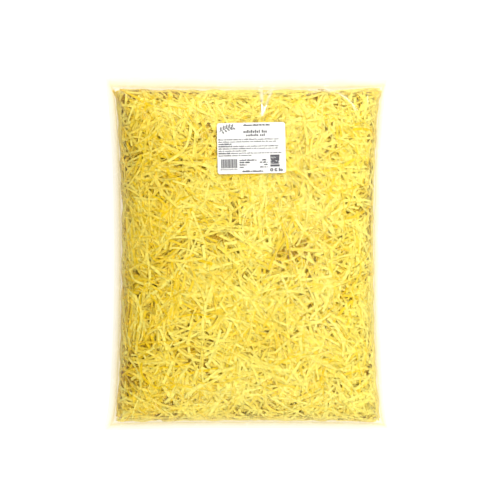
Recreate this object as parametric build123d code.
"""A sealed pillow bag of shredded paper filler, lying on its back, in millimetres.

+X is across the bag, +Y points to the labelled top end and +Z is up. The origin is the middle of the
footprint at floor level.
"""
from build123d import *
import math
import os
import random

# ---- driving dimensions ----
BAG_WIDTH = 413.0  # over the side welds, at the corners
BAG_LENGTH = 521.0  # over the end welds, at the corners
BAG_HEIGHT = 116.0  # film only, without the label
SEAM_HEIGHT = 44.0  # the weld plane above the floor
BACK_DEPTH = 58.0  # how far the back would hang below the weld plane if no floor flattened it
FILM = 1.0  # stand-in thickness for both films
SIDE_WELD = 10.0
TOP_WELD = 24.0
BOTTOM_WELD = 9.0
WAIST = 0.062  # share of the half width by which the sides draw in at mid length
END_WAIST = 0.014  # the same for the two ends

LABEL_WIDTH = 95.0
LABEL_LENGTH = 72.0  # in plan; the paper itself is a little longer, because it follows the film
LABEL_CORNER = 3.5
LABEL_CENTRE = (5.6, 142.0)
LABEL_TURN = 1.2  # degrees
LABEL_LAYER = 0.3  # stand-in thickness of the paper, and of the glue under it

CORE_GAP = 12.0  # room for the modelled strips between the loose core and the film
STRIP_WIDTH = 4.0
STRIP_THICK = 0.3
STRIP_LENGTH = (30.0, 78.0)
STRIP_BEND = (55.0, 260.0)  # radius of a strip's curl within its own plane
STRIP_CLEAR = 0.7  # least gap between a strip and the film, the core or another strip
STRIP_ROOM = STRIP_CLEAR + STRIP_THICK
SAMPLE_STEP = 3.0  # spacing of the points along a strip that are tested for clearance
NEAR = 5.5  # strips with points closer than this are tested against each other
STRIPS_FRONT = 34  # strips in each of the twelve front groups
STRIPS_BACK = 22  # strips in each of the six back groups
STRIPS_EDGE = 30  # strips in each of the four edge groups
TRIES = 60  # places tried for each strip before it is given up
OFF_EDGE = 0.5  # a point this far from every point of a pillow face is past its edge

# ---- the pillow shape: Bezier control values, all as shares of a half width, half length or height ----
ACROSS = (-1.0, -0.95, -0.64, 0.0, 0.64, 0.95, 1.0)
RISE = (0.0, 0.92, 1.0, 1.06, 1.0, 0.92, 0.0)
DRAW_IN = (0.0, 0.6, 1.2, 1.4, 1.2, 0.6, 0.0)
DEGREE = len(ACROSS) - 1

CENTRE_Y = (BOTTOM_WELD - TOP_WELD) / 2
HALF_WIDTH = BAG_WIDTH / 2 - SIDE_WELD
HALF_LENGTH = (BAG_LENGTH - TOP_WELD - BOTTOM_WELD) / 2


def bezier(controls, t):
    """Value of a one-dimensional Bezier curve."""
    return sum(
        c * math.comb(DEGREE, i) * t**i * (1 - t) ** (DEGREE - i) for i, c in enumerate(controls)
    )


CROWN = bezier(RISE, 0.5)


class Pillow:
    """One side of the filling: its face against the film, or a face some distance inside that."""

    def __init__(self, side, inset):
        self.side = side
        self.half_width = HALF_WIDTH - inset
        self.half_length = HALF_LENGTH - inset
        depth = BAG_HEIGHT - FILM - SEAM_HEIGHT if side > 0 else BACK_DEPTH
        self.height = (depth - inset) / CROWN**2

    def point(self, u, v):
        x = self.half_width * bezier(ACROSS, u) * (1 - WAIST * bezier(DRAW_IN, v))
        y = self.half_length * bezier(ACROSS, v) * (1 - END_WAIST * bezier(DRAW_IN, u))
        z = self.side * self.height * bezier(RISE, u) * bezier(RISE, v)
        return Vector(x, y + CENTRE_Y, z + SEAM_HEIGHT)

    def frame(self, u, v):
        """Point, and the directions across and along the surface there."""
        step = 1e-4
        here = self.point(u, v)
        return here, (self.point(u + step, v) - here).normalized(), (self.point(u, v + step) - here).normalized()

    def locate(self, x, y, u, v):
        """The u and v whose point stands over x and y, found from a start close by."""
        step = 1e-4
        for _ in range(5):
            here = self.point(u, v)
            du = (self.point(u + step, v) - here) / step
            dv = (self.point(u, v + step) - here) / step
            det = du.X * dv.Y - du.Y * dv.X
            gap_x = x - here.X
            gap_y = y - here.Y
            u = min(1.0, max(0.0, u + (gap_x * dv.Y - gap_y * dv.X) / det))
            v = min(1.0, max(0.0, v + (gap_y * du.X - gap_x * du.Y) / det))
        return u, v

    def face(self):
        net = [
            [
                Vector(
                    self.half_width * ax * (1 - WAIST * DRAW_IN[j]),
                    self.half_length * ay * (1 - END_WAIST * DRAW_IN[i]) + CENTRE_Y,
                    self.side * self.height * RISE[i] * RISE[j] + SEAM_HEIGHT,
                )
                for j, ay in enumerate(ACROSS)
            ]
            for i, ax in enumerate(ACROSS)
        ]
        return Face.make_bezier_surface(net)

    def solid(self):
        """The closed dome between this face and the weld plane."""
        dome = self.face()
        return Solid(Shell([dome, Face(dome.outer_wire())]))

    def layer(self, thickness):
        """The film or label layer that covers this face."""
        return extrude(self.face(), thickness, dir=(0, 0, self.side))


def weld_margin(side):
    """The flat margin of one film, from the filling out to edges that are drawn in at mid length."""
    west = -BAG_WIDTH / 2
    south = -BAG_LENGTH / 2
    east = BAG_WIDTH / 2
    north = BAG_LENGTH / 2
    draw_x = BAG_WIDTH / 2 * WAIST
    draw_y = BAG_LENGTH / 2 * END_WAIST
    sides = [
        ThreePointArc((west, south), (0, south + draw_y), (east, south)),
        ThreePointArc((east, south), (east - draw_x, 0), (east, north)),
        ThreePointArc((east, north), (0, north - draw_y), (west, north)),
        ThreePointArc((west, north), (west + draw_x, 0), (west, south)),
    ]
    outline = Pos(0, 0, SEAM_HEIGHT) * Wire(sides)
    filling = Pillow(side, 0).face().outer_wire()
    return extrude(Face(outline, [filling]), FILM, dir=(0, 0, side))


def above(height):
    """A block that holds everything over a given height."""
    side = 2 * BAG_LENGTH
    return Pos(0, 0, height) * Box(side, side, side, align=(Align.CENTER, Align.CENTER, Align.MIN))


def film_front():
    return weld_margin(1) + Pillow(1, 0).layer(FILM)


def film_back():
    """The back film, pressed flat where the bag rests."""
    hanging = Pillow(-1, 0)
    rest = (Pos(0, 0, -FILM) * hanging.solid()) & above(0) - above(FILM)
    return weld_margin(-1) + (hanging.layer(FILM) & above(0)) + rest


def shred_core():
    """The mass of shred behind the strips that are modelled one by one."""
    front = Pillow(1, CORE_GAP).solid()
    back = Pillow(-1, CORE_GAP).solid() & above(FILM + CORE_GAP)
    return front + back


def label_layer(low, high):
    """A layer of the label between two heights over the film, bent to the film's curve."""
    outline = Rot(0, 0, LABEL_TURN) * RectangleRounded(LABEL_WIDTH, LABEL_LENGTH, LABEL_CORNER)
    column = extrude(Pos(*LABEL_CENTRE, SEAM_HEIGHT) * outline, BAG_HEIGHT)
    return column & Pos(0, 0, FILM + low) * Pillow(1, 0).layer(high - low)


class Pile:
    """Keeps the strips apart: every point of a laid strip, looked up by its place in plan."""

    def __init__(self):
        self.points = {}
        self.count = 0

    def key(self, point):
        return int(point.X // NEAR), int(point.Y // NEAR)

    def around(self, point):
        """The laid points close to a point, each with the number of its strip."""
        column, row = self.key(point)
        for i in (column - 1, column, column + 1):
            for j in (row - 1, row, row + 1):
                for number, laid in self.points.get((i, j), ()):
                    if (laid - point).length < NEAR:
                        yield number, laid

    def is_free(self, points, normal):
        """True when each strip nearby stays on one side of the new strip's plane."""
        sides = {}
        for p in points:
            for number, laid in self.around(p):
                height = (laid - p).dot(normal)
                side = sides.setdefault(number, height > 0)
                if abs(height) < STRIP_ROOM or side != (height > 0):
                    return False
        return True

    def add(self, points):
        for p in points:
            self.points.setdefault(self.key(p), []).append((self.count, p))
        self.count += 1


class StripSite:
    """Where a strip lies: its plane, its length and its curl."""

    def __init__(self, rng, side, u, v, along_rim):
        depth = rng.uniform(1.5, CORE_GAP - 1.5)
        self.film = Pillow(side, 0)
        self.core = Pillow(side, CORE_GAP)
        self.side = side
        self.u = u
        self.v = v
        self.length = rng.uniform(*STRIP_LENGTH) * (0.7 if along_rim else 1.0)
        self.bend = rng.uniform(*STRIP_BEND) * rng.choice((-1, 1))
        spread = 25 if along_rim else 180
        turn = math.radians(rng.uniform(-spread, spread))
        here, across, along = Pillow(side, depth).frame(u, v)
        if here.Z < FILM + depth:
            here, across, along = Vector(here.X, here.Y, FILM + depth), Vector(1, 0, 0), Vector(0, 1, 0)
        start = along if along_rim == "side" else across
        normal = across.cross(along).normalized()
        self.plane = Plane(here, x_dir=start.rotate(Axis((0, 0, 0), normal), math.degrees(turn)), z_dir=normal)

    def at(self, distance, offset):
        """A point of the strip: a distance along it and an offset across it."""
        angle = distance / self.bend
        radius = self.bend + offset
        return self.plane.from_local_coords(
            Vector(radius * math.sin(angle), self.bend - radius * math.cos(angle), 0)
        )

    def points(self):
        """Points along the middle and both edges of the strip."""
        half = STRIP_WIDTH / 2
        count = max(2, round(self.length / SAMPLE_STEP))
        places = [self.length * (i / count - 0.5) for i in range(count + 1)]
        return [self.at(place, offset) for place in places for offset in (-half, 0, half)]

    def fits(self):
        """True when the whole strip lies between the film and the core."""
        for p in self.points():
            film_z = self.height_at(self.film, p, FILM)
            core_z = self.height_at(self.core, p, FILM + CORE_GAP)
            if film_z is None or self.side * (film_z - p.Z) < STRIP_ROOM:
                return False
            if core_z is not None and self.side * (p.Z - core_z) < STRIP_ROOM:
                return False
        return True

    def height_at(self, pillow, p, floor):
        """Height of a pillow face over or under a point, or None past its edge."""
        u, v = pillow.locate(p.X, p.Y, self.u, self.v)
        face = pillow.point(u, v)
        if abs(face.X - p.X) + abs(face.Y - p.Y) > OFF_EDGE:
            return None
        return max(face.Z, floor)

    def solid(self):
        half = STRIP_WIDTH / 2
        end = self.length / 2
        left = ThreePointArc(self.at(-end, -half), self.at(0, -half), self.at(end, -half))
        right = ThreePointArc(self.at(end, half), self.at(0, half), self.at(-end, half))
        outline = Wire([left, Line(left @ 1, right @ 0), right, Line(right @ 1, left @ 0)])
        return extrude(Face(outline), STRIP_THICK, dir=self.plane.z_dir).solid()


def lay_strips(rng, pile, side, u_range, v_range, count, along_rim=None):
    """Loose strips against the film over one patch of the bag."""
    strips = []
    for _ in range(count * TRIES):
        if len(strips) == count:
            break
        site = StripSite(rng, side, rng.uniform(*u_range), rng.uniform(*v_range), along_rim)
        if pile.is_free(site.points(), site.plane.z_dir) and site.fits():
            pile.add(site.points())
            strips.append(site.solid())
    return strips


def patches(names, low, high):
    """Splits a range evenly and gives each part its name."""
    step = (high - low) / len(names)
    return [(name, (low + i * step, low + (i + 1) * step)) for i, name in enumerate(names)]


def strip_groups():
    """Every group of strips, by node name. Each strip is a solid of its own."""
    rng = random.Random(11)
    pile = Pile()
    groups = {}
    for row, v_range in patches(("bottom", "lower", "upper", "top"), 0.12, 0.88):
        for column, u_range in patches(("left", "middle", "right"), 0.12, 0.88):
            groups[f"strips_front_{row}_{column}"] = lay_strips(rng, pile, 1, u_range, v_range, STRIPS_FRONT)
    for row, v_range in patches(("bottom", "middle", "top"), 0.2, 0.8):
        for column, u_range in patches(("left", "right"), 0.2, 0.8):
            groups[f"strips_back_{row}_{column}"] = lay_strips(rng, pile, -1, u_range, v_range, STRIPS_BACK)
    rims = {
        "left": ((0.04, 0.12), (0.1, 0.9), "side"),
        "right": ((0.88, 0.96), (0.1, 0.9), "side"),
        "bottom": ((0.1, 0.9), (0.04, 0.12), "end"),
        "top": ((0.1, 0.9), (0.88, 0.96), "end"),
    }
    for name, (u_range, v_range, rim) in rims.items():
        groups[f"strips_{name}_edge"] = [
            strip
            for side in (1, -1)
            for strip in lay_strips(rng, pile, side, u_range, v_range, STRIPS_EDGE // 2, rim)
        ]
    return groups


def main():
    os.makedirs("parts", exist_ok=True)
    nodes = {
        "film_front": film_front(),
        "film_back": film_back(),
        "label_adhesive": label_layer(0, LABEL_LAYER),
        "label_face": label_layer(LABEL_LAYER, 2 * LABEL_LAYER),
        "shred_core": shred_core(),
    }
    for name, strips in strip_groups().items():
        nodes[name] = Compound(strips)
        print(name, len(strips), "strips")
    for name, shape in nodes.items():
        export_step(shape, f"parts/{name}.step")


main()
